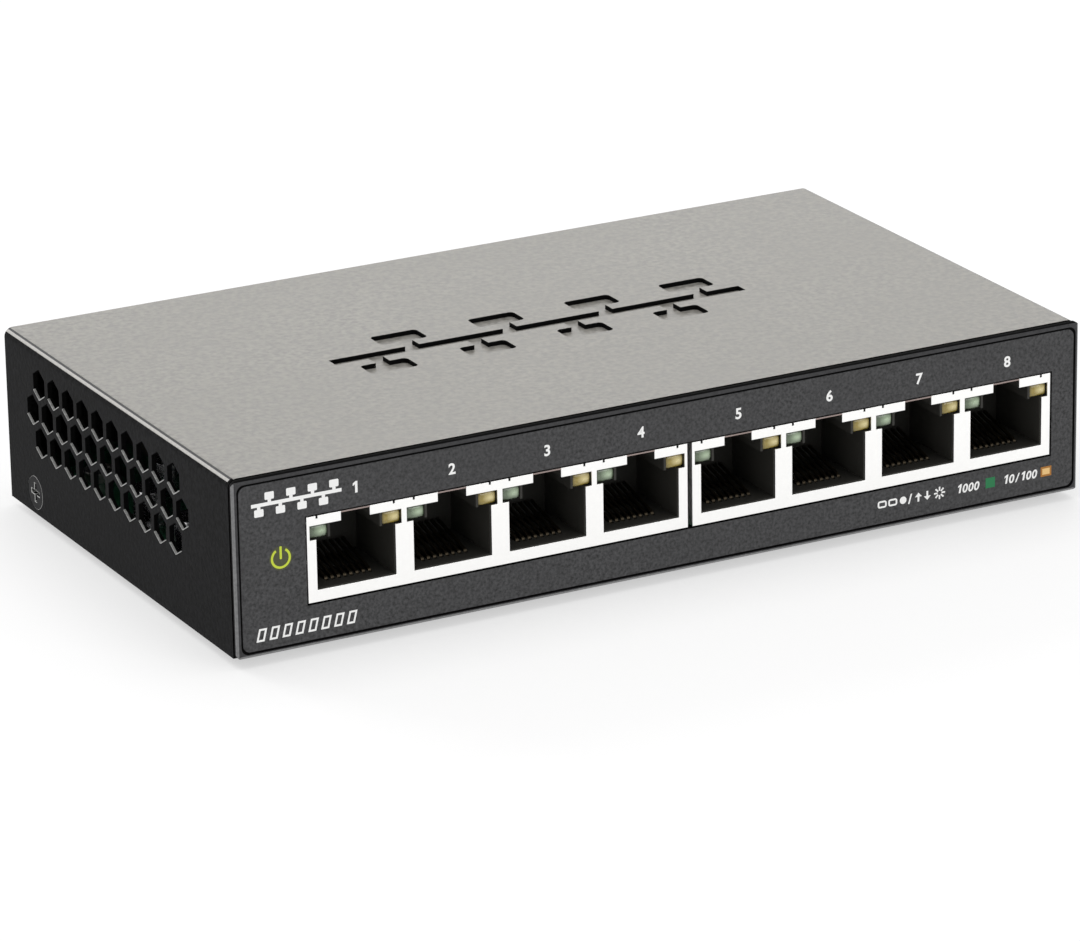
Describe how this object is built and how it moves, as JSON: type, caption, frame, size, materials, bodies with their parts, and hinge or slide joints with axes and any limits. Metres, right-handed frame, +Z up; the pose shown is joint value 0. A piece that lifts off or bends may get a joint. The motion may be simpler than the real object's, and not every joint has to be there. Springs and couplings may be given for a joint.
{
  "type": "desktop network switch",
  "caption": "Low folded-steel box with a row of shielded modular sockets and indicator lenses in its front, hexagonal side vents, a rear power inlet and a recessed reset button.",
  "frame": {"origin": "on the standing surface, under the middle of the case", "axes": "+X is the width, to the right as seen from the front; -Y is the socket side; +Z is up"},
  "size_m": [0.145, 0.0826, 0.0292],
  "materials": {
    "top_paint": "fine satin warm-grey paint on the top, black powder coat on bends and sides",
    "black_powder": "fine-textured black powder coat",
    "overlay_film": "finely grained dark grey polycarbonate overlay",
    "label_film": "satin silver-white label",
    "foot_rubber": "matt black rubber",
    "black_screw": "black oxide steel",
    "tinned_shield": "bright tin-plated sheet",
    "black_plastic": "moulded black thermoplastic",
    "gold_contact": "gold-plated spring contact",
    "green_lens": "translucent green resin",
    "yellow_lens": "translucent amber-yellow resin",
    "tinned_lead": "tinned wire",
    "green_board": "green solder mask on glass-fibre board",
    "nickel_steel": "nickel-plated steel",
    "chip_resin": "black epoxy package",
    "thermal_rubber": "soft blue-grey thermal pad",
    "heat_sink_aluminium": "plain extruded fins",
    "crystal_can": "drawn metal can",
    "ferrite": "dull ferrite shell",
    "can_aluminium": "bright drawn can",
    "ceramic_chip": "fired ceramic",
    "resistor_chip": "glass-coated resistor",
    "led_resin": "diffusing resin",
    "clear_acrylic": "clear moulded acrylic",
    "tinned_brass": "tin-plated brass"
  },
  "bodies": {
    "case": {"top_cover": "top_paint", "chassis_base": "black_powder", "front_overlay": "overlay_film", "rating_label": "label_film", "rubber_feet": "foot_rubber", "cover_screws": "black_screw", "jack_shield_left": "tinned_shield", "jack_shield_right": "tinned_shield", "jack_housing_left": "black_plastic", "jack_housing_right": "black_plastic", "jack_contacts_left": "gold_contact", "jack_contacts_right": "gold_contact", "link_leds_green": "green_lens", "link_leds_yellow": "yellow_lens", "led_leads": "tinned_lead", "circuit_board": "green_board", "standoffs": "nickel_steel", "board_screws": "nickel_steel", "switch_chip": "chip_resin", "thermal_pad": "thermal_rubber", "heat_sink": "heat_sink_aluminium", "memory_chip": "chip_resin", "flash_chip": "chip_resin", "crystal": "crystal_can", "port_transformers": "chip_resin", "power_inductors": "ferrite", "regulator_chips": "chip_resin", "electrolytic_capacitors": "can_aluminium", "ceramic_capacitors": "ceramic_chip", "chip_resistors": "resistor_chip", "input_diode": "chip_resin", "power_led": "led_resin", "power_light_pipe": "clear_acrylic", "dc_jack_housing": "black_plastic", "dc_center_pin": "tinned_brass", "dc_spring_contact": "tinned_brass", "reset_switch_base": "black_plastic", "reset_switch_frame": "nickel_steel", "reset_dome": "nickel_steel"},
    "reset_plunger": {"reset_button": "black_plastic"}
  },
  "joints": [
    {"name": "reset_press", "type": "slide", "parent": "case", "child": "reset_plunger", "axis": [0, -1, 0], "range_m": [0, 0.0003], "stiffness_N_per_m": 300, "springref_m": -0.0003, "deforming": ["reset_dome"]}
  ]
}
